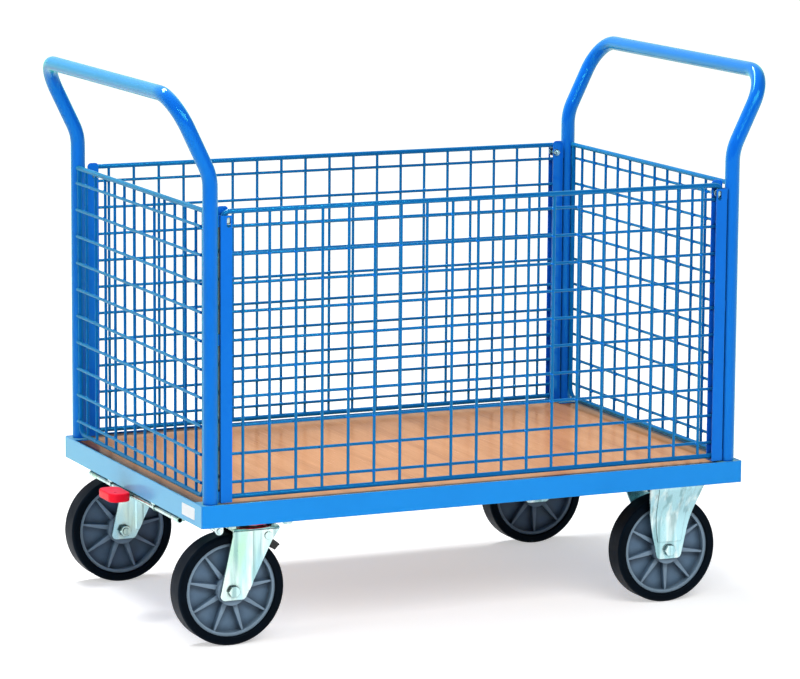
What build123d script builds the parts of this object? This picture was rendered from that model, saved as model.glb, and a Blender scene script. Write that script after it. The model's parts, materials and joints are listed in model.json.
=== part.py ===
from build123d import *
import os

# Mesh-sided platform trolley with a foot brake on its swivel castors.
# Millimetres, +Z up, origin on the floor under the middle of the trolley.
# +X is the end with the fixed castors, -X the end with the swivel castors and the brake.
# A person who pushes from the swivel end has -Y on the right and +Y on the left.

# Platform frame
FRAME_LENGTH = 1068.0
FRAME_WIDTH = 700.0
FRAME_UNDERSIDE = 227.0
RAIL_HEIGHT = 40.0
RAIL_WALL = 3.0
RAIL_FLANGE = 20.0
RAIL_CORNER_RADIUS = 4.0
RAIL_EDGE_RADIUS = 0.8

# Deck board and corner plates
BOARD_THICKNESS = 18.0
BOARD_RECESS = 3.0
BOARD_GAP = 1.5
BOARD_EDGE_RADIUS = 1.0
CORNER_PLATE_SIZE = 42.0
CORNER_PLATE_THICKNESS = 3.0
CORNER_PLATE_RECESS = 1.0
CORNER_NOTCH_GAP = 1.0

# Cross members
CROSS_WALL = 3.0
CASTOR_CROSS_WIDTH = 140.0
MIDDLE_CROSS_WIDTH = 60.0
CROSS_POST_GAP = 2.5

# Push handles, whose legs are the corner posts
TUBE_DIAMETER = 26.9
TUBE_WALL = 2.0
TUBE_HOLE_CLEARANCE = 0.15
POST_INSET_X = 23.0
POST_INSET_Y = 19.0
HANDLE_BAR_HEIGHT = 979.5
HANDLE_LEAN = 68.0
KNEE_OVER_PANEL = 62.0
KNEE_BEND_SHARE = 0.625
CORNER_BEND_SHARE = 0.45

# Wire mesh
WIRE_PITCH = 50.0
UPRIGHT_WIRE_DIAMETER = 5.4
CROSS_WIRE_DIAMETER = 5.4
WELD_GAP = 0.05
LOWEST_CROSS_WIRE = 301.0
TOP_WIRE_GAP = 20.0

# End panels
END_PANEL_OFFSET = 4.0
END_TOP_BAR_DIAMETER = 9.0
END_TOP_BAR_HEIGHT = 778.0
END_RIM_DIAMETER = 8.0
END_RIM_BOTTOM = 276.0
END_RIM_CORNER_RADIUS = 20.0
END_RIM_POST_GAP = 1.55
END_TAB_WIDTH = 5.0
END_TAB_HEIGHT = 18.0
END_TAB_EDGE = 30.0

# Side panels and their channels
SIDE_RIM_DIAMETER = 9.0
SIDE_RIM_BOTTOM = 277.0
SIDE_RIM_DROP = 0.5
SIDE_RIM_CORNER_RADIUS = 14.0
CHANNEL_WALL = 2.0
CHANNEL_WIDTH = 21.0
CHANNEL_DEPTH = 21.5
CHANNEL_BOTTOM = 268.5
CHANNEL_BOLT_EDGE = 8.0
CHANNEL_POST_GAP = 2.0
CHANNEL_RIM_GAP = 0.6
CHANNEL_TAB_HEIGHT = 20.0
CHANNEL_TAB_WIDTH = 12.0
CHANNEL_MIDDLE_TAB_SHARE = 0.57
CHANNEL_INNER_RISE = 4.0
CHANNEL_INNER_CORNER = 7.0
CHANNEL_SHELF_GAP = 0.3
PANEL_BOLT_SHIFT = 6.0
PANEL_BOLT_DIAMETER = 6.0
PANEL_BOLT_FLATS = 10.0
PANEL_BOLT_HEAD = 2.0
PANEL_CLAMP_DIAMETER = 16.0
PANEL_NUT_HEIGHT = 5.0
PANEL_SLOT_WIDTH = 7.0
PANEL_SLOT_LENGTH = 18.0
PANEL_SLOT_DROP = 4.0
WASHER_DIAMETER = 12.0
WASHER_THICKNESS = 1.6
BOLT_HOLE_CLEARANCE = 0.25
BOLT_END = 2.0

# Castor places and fastening
CASTOR_INSET_X = 124.0
CASTOR_INSET_Y = 78.0
CASTOR_BOLT_SPACING_X = 105.0
CASTOR_BOLT_SPACING_Y = 80.0
CASTOR_BOLT_DIAMETER = 10.0
CASTOR_BOLT_FLATS = 16.0
CASTOR_BOLT_HEAD = 6.4
CASTOR_NUT_HEIGHT = 8.0

# Wheels
WHEEL_DIAMETER = 200.0
TYRE_WIDTH = 46.0
TYRE_THICKNESS = 16.0
TYRE_SHOULDER_RADIUS = 5.5
TYRE_FOOT_RADIUS = 3.0
RIM_WIDTH = 36.0
RIM_THICKNESS = 6.0
WEB_THICKNESS = 8.0
HUB_DIAMETER = 54.0
HUB_WIDTH = 52.0
RIB_COUNT = 9
RIB_ROOT = 9.5
RIB_TIP = 3.0
RIB_WIDTH = 32.0
RIB_PHASE_SWIVEL_RIGHT = 7.0
RIB_PHASE_SWIVEL_LEFT = 10.0
RIB_PHASE_FIXED = 31.0
BEARING_DIAMETER = 28.0
BEARING_STAND_OUT = 0.3
AXLE_DIAMETER = 12.0
AXLE_FLATS = 19.0
AXLE_HEAD = 7.5
AXLE_NUT_HEIGHT = 10.0
RUNNING_CLEARANCE = 0.05
SEAT_CLEARANCE = 0.02
HEX_CHAMFER = 0.8

# Forks
FORK_WALL = 3.5
FORK_HUB_GAP = 1.0
FORK_FOOT_HALF_WIDTH = 24.0
FORK_FOOT_DROP = 16.5
FORK_FOOT_RADIUS = 9.0
FIXED_PLATE_THICKNESS = 4.0
FIXED_PLATE_LENGTH = 135.0
FIXED_PLATE_WIDTH = 120.0
PLATE_CORNER_RADIUS = 8.0
FIXED_WALL_HALF_LENGTH = 55.0
FIXED_SPLAY_HEIGHT = 65.0
FIXED_SPLAY_WALL = 4.5
FIXED_SPLAY_RADIUS = 120.0
FIXED_PANEL_RISE = 16.0
FIXED_PANEL_LOW_HALF = 24.0
FIXED_PANEL_TOP_HALF = 37.0
SWIVEL_PLATE_THICKNESS = 5.0
SWIVEL_PLATE_LENGTH = 135.0
SWIVEL_PLATE_WIDTH = 110.0
SWIVEL_TRAIL = 46.0
CROWN_DROP = 16.0
CROWN_THICKNESS = 5.0
CROWN_BEND_RADIUS = 6.0
CROWN_INNER_RADIUS = 2.5
FORK_REAR = 44.0
FORK_FRONT = 42.0
FORK_KNEE_X = 27.0
FORK_KNEE_DROP = 42.0
FORK_FOOT_SHIFT = 2.0
PRESS_RIB_REAR = 22.0
PRESS_RIB_WIDTH = 17.0
PRESS_RIB_HEIGHT = 1.6
PRESS_RIB_SLOPE = 3.0

# Swivel heads
KINGPIN_DIAMETER = 16.0
KINGPIN_FLANGE_DIAMETER = 22.0
KINGPIN_FLANGE_HEIGHT = 6.7
KINGPIN_FLANGE_GAP = 0.3
KINGPIN_TOP_RECESS = 0.5
RACE_INNER_RADIUS = 9.5
LOWER_RACE_RADIUS = 21.0
LOWER_RACE_HEIGHT = 4.0
UPPER_RACE_RADIUS = 22.0
UPPER_RACE_HEIGHT = 5.4
BALL_DIAMETER = 7.0
BALL_CIRCLE_RADIUS = 15.0
BALL_COUNT = 12
BALL_CLEARANCE = 0.06

# Brake rings and rockers
RING_GUIDE_GAP = 0.3
RING_OUTER_RADIUS = 36.0
RING_THICKNESS = 5.0
RING_DROP = 1.0
RING_NOTCH_DEPTH = 3.5
NOTCH_SIDE_GAP = 1.0
ROCKER_PIVOT_OFFSET = 76.0
ROCKER_PIVOT_DROP = 15.0
ROCKER_PIN_DIAMETER = 6.0
ROCKER_PIN_HEAD_DIAMETER = 9.0
ROCKER_PIN_HEAD = 1.5
ROCKER_HUB_DIAMETER = 11.0
ROCKER_HUB_GAP = 0.3
ROCKER_NOSE_WIDTH = 16.0
ROCKER_NOSE_THICKNESS = 2.8
ROCKER_NOSE_GAP = 0.3
ROCKER_NOSE_RING_OVERLAP = 4.0
ROCKER_WEB = 8.0
ROCKER_PLATE_HALF_WIDTH = 18.0
ROCKER_PLATE_THICKNESS = 1.8
ROCKER_TAIL_START = 11.0
ROCKER_TAIL_FINGER_OVERLAP = 2.0
BRACKET_TOP = 2.0
BRACKET_WIDTH = 15.0
BRACKET_EAR = 3.0
BRACKET_SPAN = 72.0

# Brake bar and pedal
BAR_DIAMETER = 11.0
BAR_WALL = 1.5
BAR_CASTOR_GAP = 47.0
BAR_INSET = 8.0
BAR_DROP = 9.0
FINGER_REACH = 10.0
FINGER_WIDTH = 10.0
FINGER_THICKNESS = 5.0
FINGER_END_GAP = 1.0
FINGER_PLAY = 1.6
PEDAL_Y = 20.0
PEDAL_ARM_WIDTH = 24.0
PEDAL_ARM_THICKNESS = 5.0
PEDAL_ARM_REACH = 36.0
PEDAL_LENGTH = 41.0
PEDAL_WIDTH = 72.0
PEDAL_THICKNESS = 16.0
PEDAL_CORNER_RADIUS = 15.0
PEDAL_EDGE_RADIUS = 3.0
PEDAL_RAIL_GAP = 3.0
PEDAL_RISE = 1.0
HANGER_BAR_END = 115.0
HANGER_TAB = 3.0
HANGER_WIDTH = 14.0
HANGER_FOOT_LENGTH = 20.0
HANGER_FOOT_THICKNESS = 2.5

# Brake shoes
SHOE_PIVOT_X = 20.0
SHOE_PIVOT_DROP = 32.0
SHOE_PIN_DIAMETER = 8.0
SHOE_PIN_HEAD_DIAMETER = 13.0
SHOE_PIN_HEAD = 2.0
SHOE_HUB_DIAMETER = 16.0
SHOE_HUB_GAP = 0.5
SHOE_NOSE_X = 34.0
SHOE_NOSE_LENGTH = 6.0
SHOE_NOSE_WIDTH = 12.0
SHOE_NOSE_GAP = 0.3
CROWN_NOTCH_WIDTH = 16.0
CROWN_NOTCH_START = 26.0
SHOE_TRAVEL_DEGREES = 9.0
SHOE_APPLIED_GAP = 0.5
PAD_THICKNESS = 9.5
PAD_WIDTH = 34.0
PAD_FROM_DEGREES = 38.0
PAD_TO_DEGREES = 49.0
CARRIER_THICKNESS = 4.0
CARRIER_WIDTH = 36.0

# Places worked out from the sizes above
rail_top = FRAME_UNDERSIDE + RAIL_HEIGHT
flange_top = FRAME_UNDERSIDE + RAIL_WALL
board_top = rail_top - BOARD_RECESS
board_bottom = board_top - BOARD_THICKNESS
web_inner_x = FRAME_LENGTH / 2 - RAIL_WALL
web_inner_y = FRAME_WIDTH / 2 - RAIL_WALL
flange_inner_x = FRAME_LENGTH / 2 - RAIL_FLANGE
flange_inner_y = FRAME_WIDTH / 2 - RAIL_FLANGE
tube_radius = TUBE_DIAMETER / 2
post_x = FRAME_LENGTH / 2 - POST_INSET_X
post_y = FRAME_WIDTH / 2 - POST_INSET_Y
handle_knee_height = END_TOP_BAR_HEIGHT + KNEE_OVER_PANEL
handle_rise = HANDLE_BAR_HEIGHT - handle_knee_height
knee_bend_radius = KNEE_BEND_SHARE * handle_rise
corner_bend_radius = CORNER_BEND_SHARE * handle_rise
cross_wire_offset = UPRIGHT_WIRE_DIAMETER / 2 + CROSS_WIRE_DIAMETER / 2 + WELD_GAP
cross_wires = int((END_TOP_BAR_HEIGHT - TOP_WIRE_GAP - LOWEST_CROSS_WIRE) / WIRE_PITCH) + 1
end_uprights = int(2 * (post_y - tube_radius) / WIRE_PITCH)
channel_back = post_x - tube_radius - CHANNEL_POST_GAP
channel_mouth = channel_back - CHANNEL_DEPTH
side_rim_x = channel_back - CHANNEL_WALL - CHANNEL_RIM_GAP - SIDE_RIM_DIAMETER / 2
side_rim_top = END_TOP_BAR_HEIGHT - SIDE_RIM_DROP
side_uprights = int(2 * side_rim_x / WIRE_PITCH)
panel_bolt_x = side_rim_x - SIDE_RIM_CORNER_RADIUS + PANEL_BOLT_SHIFT
panel_bolt_z = side_rim_top - SIDE_RIM_CORNER_RADIUS
channel_top = panel_bolt_z + CHANNEL_BOLT_EDGE
channel_inner_top = side_rim_top + SIDE_RIM_DIAMETER / 2 + CHANNEL_INNER_RISE
channel_middle_tab = CHANNEL_BOTTOM + CHANNEL_MIDDLE_TAB_SHARE * (channel_top - CHANNEL_BOTTOM)
castor_x = FRAME_LENGTH / 2 - CASTOR_INSET_X
castor_y = FRAME_WIDTH / 2 - CASTOR_INSET_Y
wheel_radius = WHEEL_DIAMETER / 2
rim_radius = wheel_radius - TYRE_THICKNESS
fork_inner = HUB_WIDTH / 2 + FORK_HUB_GAP
fork_outer = fork_inner + FORK_WALL
fork_foot = wheel_radius - FORK_FOOT_DROP
swivel_plate_bottom = FRAME_UNDERSIDE - SWIVEL_PLATE_THICKNESS
fixed_plate_bottom = FRAME_UNDERSIDE - FIXED_PLATE_THICKNESS
crown_top = FRAME_UNDERSIDE - CROWN_DROP
crown_bottom = crown_top - CROWN_THICKNESS
swivel_axle_x = -SWIVEL_TRAIL
lower_race_top = crown_top + LOWER_RACE_HEIGHT
upper_race_bottom = swivel_plate_bottom - UPPER_RACE_HEIGHT
ball_z = (lower_race_top + upper_race_bottom) / 2
ring_top = swivel_plate_bottom - RING_DROP
ring_bottom = ring_top - RING_THICKNESS
ring_inner_radius = UPPER_RACE_RADIUS + RING_GUIDE_GAP
notch_floor = ring_top - RING_NOTCH_DEPTH
rocker_z = FRAME_UNDERSIDE - ROCKER_PIVOT_DROP
bar_x = -(FRAME_LENGTH / 2 - BAR_INSET)
bar_z = FRAME_UNDERSIDE - BAR_DROP
bar_half_length = castor_y - BAR_CASTOR_GAP
hanger_y = bar_half_length - HANGER_BAR_END
shoe_pivot_z = FRAME_UNDERSIDE - SHOE_PIVOT_DROP

os.makedirs("parts", exist_ok=True)


def save(name, *solids):
    """Write one node, made of one or more solids."""
    pieces = []
    for solid in solids:
        pieces.extend(solid.solids())
    export_step(Compound(children=pieces), os.path.join("parts", name + ".step"))


def block(x, y, z):
    """Box between the low and high ends given for each axis."""
    size = [high - low for low, high in (x, y, z)]
    middle = [(high + low) / 2 for low, high in (x, y, z)]
    return Pos(*middle) * Box(*size)


def rod_x(diameter, x, y, z):
    """Round rod along X between the two ends in x."""
    return Pos((x[0] + x[1]) / 2, y, z) * Rot(0, 90, 0) * Cylinder(diameter / 2, x[1] - x[0])


def rod_y(diameter, x, y, z):
    """Round rod along Y between the two ends in y."""
    return Pos(x, (y[0] + y[1]) / 2, z) * Rot(90, 0, 0) * Cylinder(diameter / 2, y[1] - y[0])


def rod_z(diameter, x, y, z):
    """Round rod along Z between the two ends in z."""
    return Pos(x, y, (z[0] + z[1]) / 2) * Cylinder(diameter / 2, z[1] - z[0])


def about(middle, size):
    """Low and high end of a length centred on a place."""
    return (middle - size / 2, middle + size / 2)


def plate_along_y(sketch, y):
    """Extrude an outline drawn in X and Z between the two ends in y."""
    return extrude(Pos(0, y[0], 0) * Rot(90, 0, 0) * sketch, amount=y[1] - y[0], dir=(0, 1, 0))


def strip_along_x(sketch, x):
    """Extrude a section drawn in Y and Z between the two ends in x."""
    section_plane = Plane(origin=(x[0], 0, 0), x_dir=(0, 1, 0), z_dir=(1, 0, 0))
    return extrude(section_plane * sketch, amount=x[1] - x[0], dir=(1, 0, 0))


def swept_rod(path, diameter):
    """Round rod that follows a path."""
    return sweep(Plane(origin=path @ 0, z_dir=path % 0) * Circle(diameter / 2), path=path)


def hexagon(flats, height):
    """Hexagonal head or nut on the XY plane, with its top corners turned off."""
    prism = extrude(RegularPolygon(flats / 2, 6, major_radius=False), amount=height)
    turned = Cone(flats / 2 + height, flats / 2 - HEX_CHAMFER / 2, height + HEX_CHAMFER / 2,
                  align=(Align.CENTER, Align.CENTER, Align.MIN))
    return prism & turned


def mirrored_pair(solid):
    """A piece of the right-hand side and its copy on the left."""
    return [solid, mirror(solid, about=Plane.XZ)]


# Frame rails: one rolled L section, mitred at the corners
def rail_ring():
    outline = RectangleRounded(FRAME_LENGTH, FRAME_WIDTH, RAIL_CORNER_RADIUS)
    outside = extrude(Pos(0, 0, FRAME_UNDERSIDE) * outline, amount=RAIL_HEIGHT)
    trough = block((-web_inner_x, web_inner_x), (-web_inner_y, web_inner_y),
                   (flange_top, rail_top + RAIL_HEIGHT))
    opening = block((-flange_inner_x, flange_inner_x), (-flange_inner_y, flange_inner_y),
                    (FRAME_UNDERSIDE - RAIL_WALL, rail_top))
    ring = outside - trough - opening
    return fillet(ring.edges().group_by(Axis.Z)[-1], RAIL_EDGE_RADIUS)


def mitre_wedge(along, across, turn):
    """Prism that keeps one side of the frame, cut at 45 degrees through the corners."""
    reach = RAIL_FLANGE + RAIL_HEIGHT
    corners = [(-along - reach, -across - reach), (along + reach, -across - reach),
               (along - reach, -across + reach), (-along + reach, -across + reach)]
    wedge = extrude(Pos(0, 0, FRAME_UNDERSIDE - RAIL_WALL) * Polygon(*corners, align=None),
                    amount=RAIL_HEIGHT + 2 * RAIL_WALL, dir=(0, 0, 1))
    return Rot(0, 0, turn) * wedge


ring = rail_ring()
half_length = FRAME_LENGTH / 2
half_width = FRAME_WIDTH / 2
save("long_rail_right", ring & mitre_wedge(half_length, half_width, 0))
save("long_rail_left", ring & mitre_wedge(half_length, half_width, 180))
save("end_rail_fixed", ring & mitre_wedge(half_width, half_length, 90))
save("end_rail_swivel", ring & mitre_wedge(half_width, half_length, 270))

# Deck board and corner plates
CORNERS = [(sign_x, sign_y) for sign_x in (-1, 1) for sign_y in (-1, 1)]


def span(sign, low, high):
    """Ends of a length that lies on one side of the middle."""
    return tuple(sorted((sign * low, sign * high)))


def deck_board():
    board = block((-web_inner_x + BOARD_GAP, web_inner_x - BOARD_GAP),
                  (-web_inner_y + BOARD_GAP, web_inner_y - BOARD_GAP), (board_bottom, board_top))
    reach = CORNER_PLATE_SIZE + CORNER_NOTCH_GAP
    for sign_x, sign_y in CORNERS:
        board -= block(span(sign_x, web_inner_x - reach, half_length),
                       span(sign_y, web_inner_y - reach, half_width),
                       (board_bottom - BOARD_THICKNESS, rail_top))
    return fillet(board.edges().group_by(Axis.Z)[-1], BOARD_EDGE_RADIUS)


def post_core(sign_x, sign_y, clearance):
    """Solid cylinder where a post stands, for cutting what fits round it or is welded to it."""
    return rod_z(TUBE_DIAMETER + 2 * clearance, sign_x * post_x, sign_y * post_y,
                 (flange_top, handle_knee_height))


def corner_plate(sign_x, sign_y):
    top = rail_top - CORNER_PLATE_RECESS
    plate = block(span(sign_x, web_inner_x - CORNER_PLATE_SIZE, web_inner_x),
                  span(sign_y, web_inner_y - CORNER_PLATE_SIZE, web_inner_y),
                  (top - CORNER_PLATE_THICKNESS, top))
    return plate - post_core(sign_x, sign_y, TUBE_HOLE_CLEARANCE)


save("deck_board", deck_board())
save("corner_plates", *[corner_plate(*corner) for corner in CORNERS])


# Cross members: channels, open upwards, that carry the board and the castors
def castor_bolt_places():
    return [(x, y) for x in (-CASTOR_BOLT_SPACING_X / 2, CASTOR_BOLT_SPACING_X / 2)
            for y in (-CASTOR_BOLT_SPACING_Y / 2, CASTOR_BOLT_SPACING_Y / 2)]


def castor_holes(middle_x):
    """Bolt holes of the two castors at one end, through plate and cross member."""
    diameter = CASTOR_BOLT_DIAMETER + 2 * BOLT_HOLE_CLEARANCE
    return [rod_z(diameter, middle_x + x, side * castor_y + y, (crown_top, board_bottom))
            for side in (-1, 1) for x, y in castor_bolt_places()]


def cross_member(x):
    outside = block(x, (-flange_inner_y, flange_inner_y), (FRAME_UNDERSIDE, board_bottom))
    inside = block((x[0] + CROSS_WALL, x[1] - CROSS_WALL), (-FRAME_WIDTH, FRAME_WIDTH),
                   (FRAME_UNDERSIDE + CROSS_WALL, rail_top))
    return outside - inside


swivel_cross = cross_member((-(post_x - tube_radius - CROSS_POST_GAP), -castor_x + CASTOR_CROSS_WIDTH / 2))
fixed_cross = cross_member(about(castor_x, CASTOR_CROSS_WIDTH))
save("cross_members", swivel_cross - castor_holes(-castor_x), cross_member(about(0, MIDDLE_CROSS_WIDTH)),
     fixed_cross - castor_holes(castor_x))


# Push handles
def push_handle(sign):
    foot = sign * post_x
    lean = sign * (post_x + HANDLE_LEAN)
    path = FilletPolyline((foot, -post_y, flange_top), (foot, -post_y, handle_knee_height),
                          (lean, -post_y, HANDLE_BAR_HEIGHT), (lean, post_y, HANDLE_BAR_HEIGHT),
                          (foot, post_y, handle_knee_height), (foot, post_y, flange_top),
                          radius=(knee_bend_radius, corner_bend_radius, corner_bend_radius, knee_bend_radius))
    section = Circle(tube_radius) - Circle(tube_radius - TUBE_WALL)
    return sweep(Plane(origin=path @ 0, z_dir=path % 0) * section, path=path)


save("push_handle_swivel_end", push_handle(-1))
save("push_handle_fixed_end", push_handle(1))


# End panels, welded between the posts
def cross_wire_heights():
    return [LOWEST_CROSS_WIRE + WIRE_PITCH * row for row in range(cross_wires)]


def centred_places(count):
    return [WIRE_PITCH * (place - (count - 1) / 2) for place in range(count)]


def end_panel(sign):
    x = sign * (post_x + END_PANEL_OFFSET)
    posts = post_core(sign, -1, SEAT_CLEARANCE) + post_core(sign, 1, SEAT_CLEARANCE)
    bar = rod_y(END_TOP_BAR_DIAMETER, x, (-post_y, post_y), END_TOP_BAR_HEIGHT) - posts
    rim_y = post_y - tube_radius - END_RIM_POST_GAP - END_RIM_DIAMETER / 2
    path = FilletPolyline((x, -rim_y, END_TOP_BAR_HEIGHT), (x, -rim_y, END_RIM_BOTTOM),
                          (x, rim_y, END_RIM_BOTTOM), (x, rim_y, END_TOP_BAR_HEIGHT),
                          radius=END_RIM_CORNER_RADIUS)
    rim = swept_rod(path, END_RIM_DIAMETER) - bar
    frame = Compound(children=[bar, rim])
    pieces = [bar, rim]
    for side in (-1, 1):
        for z in (END_RIM_BOTTOM + END_TAB_EDGE, END_TOP_BAR_HEIGHT - END_TAB_EDGE):
            tab = block(about(x, END_TAB_WIDTH), span(side, rim_y, post_y), about(z, END_TAB_HEIGHT))
            pieces.append(tab - rim - posts)
    for y in centred_places(end_uprights):
        pieces.append(rod_z(UPRIGHT_WIRE_DIAMETER, x, y, (END_RIM_BOTTOM, END_TOP_BAR_HEIGHT)) - frame)
    for z in cross_wire_heights():
        pieces.append(rod_y(CROSS_WIRE_DIAMETER, x + sign * cross_wire_offset, (-rim_y, rim_y), z) - rim)
    return pieces


save("end_panel_swivel", *end_panel(-1))
save("end_panel_fixed", *end_panel(1))


# Side panels, which stand in the channels
def side_panel(sign):
    y = sign * post_y
    path = FilletPolyline((-side_rim_x, y, SIDE_RIM_BOTTOM), (side_rim_x, y, SIDE_RIM_BOTTOM),
                          (side_rim_x, y, side_rim_top), (-side_rim_x, y, side_rim_top),
                          radius=SIDE_RIM_CORNER_RADIUS, close=True)
    rim = swept_rod(path, SIDE_RIM_DIAMETER)
    pieces = [rim]
    cross_wire_y = y - sign * cross_wire_offset
    for x in centred_places(side_uprights):
        pieces.append(rod_z(UPRIGHT_WIRE_DIAMETER, x, y, (SIDE_RIM_BOTTOM, side_rim_top)) - rim)
    for z in cross_wire_heights():
        pieces.append(rod_x(CROSS_WIRE_DIAMETER, (-side_rim_x, side_rim_x), cross_wire_y, z) - rim)
    return pieces


save("side_panel_right", *side_panel(-1))
save("side_panel_left", *side_panel(1))


def panel_channel(sign_x, sign_y):
    """Upright channel welded to a post, with a shelf for the panel's corner and a slot beside the bolt."""
    y = sign_y * post_y
    inner_width = CHANNEL_WIDTH - 2 * CHANNEL_WALL
    length = span(sign_x, channel_mouth, channel_back)
    channel = block(length, about(y, CHANNEL_WIDTH), (CHANNEL_BOTTOM, channel_top))
    channel -= block(span(sign_x, channel_mouth - CHANNEL_DEPTH, channel_back - CHANNEL_WALL),
                     about(y, inner_width), (CHANNEL_BOTTOM - CHANNEL_DEPTH, channel_top + CHANNEL_DEPTH))
    shelf_top = SIDE_RIM_BOTTOM - SIDE_RIM_DIAMETER / 2 - CHANNEL_SHELF_GAP
    channel += block(length, about(y, CHANNEL_WIDTH), (CHANNEL_BOTTOM, shelf_top))
    leg_low = channel_top - 2 * CHANNEL_INNER_CORNER
    leg_end = RectangleRounded(CHANNEL_DEPTH, channel_inner_top - leg_low, CHANNEL_INNER_CORNER)
    leg_middle = Pos(sum(length) / 2, (leg_low + channel_inner_top) / 2)
    inner_leg = span(sign_y, post_y - CHANNEL_WIDTH / 2, post_y - inner_width / 2)
    channel += plate_along_y(leg_middle * leg_end, inner_leg)
    bolt_x = sign_x * panel_bolt_x
    channel -= rod_y(PANEL_BOLT_DIAMETER + 2 * BOLT_HOLE_CLEARANCE, bolt_x, span(sign_y, 0, post_y),
                     panel_bolt_z)
    outside = span(sign_y, post_y, post_y + CHANNEL_WIDTH)
    slot_ends = about(panel_bolt_z - PANEL_SLOT_DROP, PANEL_SLOT_LENGTH - PANEL_SLOT_WIDTH)
    channel -= block(about(bolt_x, PANEL_SLOT_WIDTH), outside, slot_ends)
    for z in slot_ends:
        channel -= rod_y(PANEL_SLOT_WIDTH, bolt_x, outside, z)
    for z in (CHANNEL_BOTTOM + CHANNEL_TAB_HEIGHT / 2, channel_middle_tab,
              channel_top - CHANNEL_TAB_HEIGHT / 2):
        channel += block(span(sign_x, channel_back - CHANNEL_WALL, post_x), about(y, CHANNEL_TAB_WIDTH),
                         about(z, CHANNEL_TAB_HEIGHT))
    return channel - post_core(sign_x, sign_y, SEAT_CLEARANCE)


def panel_bolt(sign_x, sign_y):
    """Bolt through the inner leg of a channel, whose washer and head clamp the panel's rim from outside."""
    outer = post_y + SIDE_RIM_DIAMETER / 2 + SEAT_CLEARANCE
    inner = post_y - CHANNEL_WIDTH / 2 - WASHER_THICKNESS - PANEL_NUT_HEIGHT - BOLT_END
    x = sign_x * panel_bolt_x
    bolt = rod_y(PANEL_BOLT_DIAMETER, x, span(sign_y, inner, outer + WASHER_THICKNESS), panel_bolt_z)
    bolt += rod_y(PANEL_CLAMP_DIAMETER, x, span(sign_y, outer, outer + WASHER_THICKNESS), panel_bolt_z)
    head = hexagon(PANEL_BOLT_FLATS, PANEL_BOLT_HEAD)
    return bolt + Pos(x, sign_y * (outer + WASHER_THICKNESS), panel_bolt_z) * Rot(-sign_y * 90, 0, 0) * head


def panel_nut(sign_x, sign_y):
    """Flanged nut on the inner end of a panel bolt."""
    inner = post_y - CHANNEL_WIDTH / 2
    x = sign_x * panel_bolt_x
    nut = hexagon(PANEL_BOLT_FLATS, PANEL_NUT_HEIGHT)
    nut = Pos(x, sign_y * (inner - WASHER_THICKNESS), panel_bolt_z) * Rot(sign_y * 90, 0, 0) * nut
    nut += rod_y(WASHER_DIAMETER, x, span(sign_y, inner - WASHER_THICKNESS, inner), panel_bolt_z)
    return nut - rod_y(PANEL_BOLT_DIAMETER + 2 * SEAT_CLEARANCE, x, span(sign_y, 0, half_width), panel_bolt_z)


save("panel_channels", *[panel_channel(*corner) for corner in CORNERS])
save("panel_bolts", *[panel_bolt(*corner) for corner in CORNERS])
save("panel_nuts", *[panel_nut(*corner) for corner in CORNERS])


# Wheels, made round the Z axis and then laid on their side
def wheel_rim(rib_phase):
    rim = Cylinder(rim_radius, RIM_WIDTH) - Cylinder(rim_radius - RIM_THICKNESS, RIM_WIDTH)
    rim += Cylinder(rim_radius - RIM_THICKNESS / 2, WEB_THICKNESS)
    rim += Cylinder(HUB_DIAMETER / 2, HUB_WIDTH)
    hub_start = HUB_DIAMETER / 2 - RIB_ROOT / 2
    rib_end = rim_radius - RIM_THICKNESS / 2
    outline = Polygon((hub_start, -RIB_ROOT / 2), (rib_end, -RIB_TIP / 2), (rib_end, RIB_TIP / 2),
                      (hub_start, RIB_ROOT / 2), align=None)
    rib = extrude(outline, amount=RIB_WIDTH / 2, both=True)
    for place in range(RIB_COUNT):
        rim += Rot(0, 0, rib_phase + 360 / RIB_COUNT * place) * rib
    return rim - Cylinder(BEARING_DIAMETER / 2 + SEAT_CLEARANCE, 2 * HUB_WIDTH)


def tyre():
    section = Pos(rim_radius + TYRE_THICKNESS / 2, 0) * Rectangle(TYRE_THICKNESS, TYRE_WIDTH)
    section = fillet(section.vertices().group_by(Axis.X)[-1], TYRE_SHOULDER_RADIUS)
    section = fillet(section.vertices().group_by(Axis.X)[0], TYRE_FOOT_RADIUS)
    ring_of_rubber = revolve(Rot(90, 0, 0) * section, axis=Axis.Z)
    return ring_of_rubber - Cylinder(rim_radius + SEAT_CLEARANCE, 2 * TYRE_WIDTH)


def wheel_bearing():
    length = HUB_WIDTH + 2 * BEARING_STAND_OUT
    bore = Cylinder(AXLE_DIAMETER / 2 + RUNNING_CLEARANCE, 2 * length)
    return Cylinder(BEARING_DIAMETER / 2, length) - bore


def axle_bolt():
    """Bolt along Z through both fork walls, with its head on the low side."""
    shank = Pos(0, 0, AXLE_NUT_HEIGHT / 2 + BOLT_END / 2) * Cylinder(
        AXLE_DIAMETER / 2, 2 * fork_outer + AXLE_NUT_HEIGHT + BOLT_END)
    return shank + Pos(0, 0, -fork_outer) * Rot(180, 0, 0) * hexagon(AXLE_FLATS, AXLE_HEAD)


def axle_nut():
    nut = Pos(0, 0, fork_outer) * hexagon(AXLE_FLATS, AXLE_NUT_HEIGHT)
    return nut - Cylinder(AXLE_DIAMETER / 2 + SEAT_CLEARANCE, 4 * HUB_WIDTH)


def at_axle(x, side):
    """Place for pieces made round the Z axis, with their low side towards the outside of the trolley."""
    turn = Rot(90, 0, 0) if side > 0 else Rot(-90, 0, 0)
    return Pos(x, side * castor_y, wheel_radius) * turn


def upright_wheel(x, side):
    """Place for a wheel whose rib angles are seen from the right-hand side."""
    return Pos(x, side * castor_y, wheel_radius) * Rot(90, 0, 0)


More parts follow.
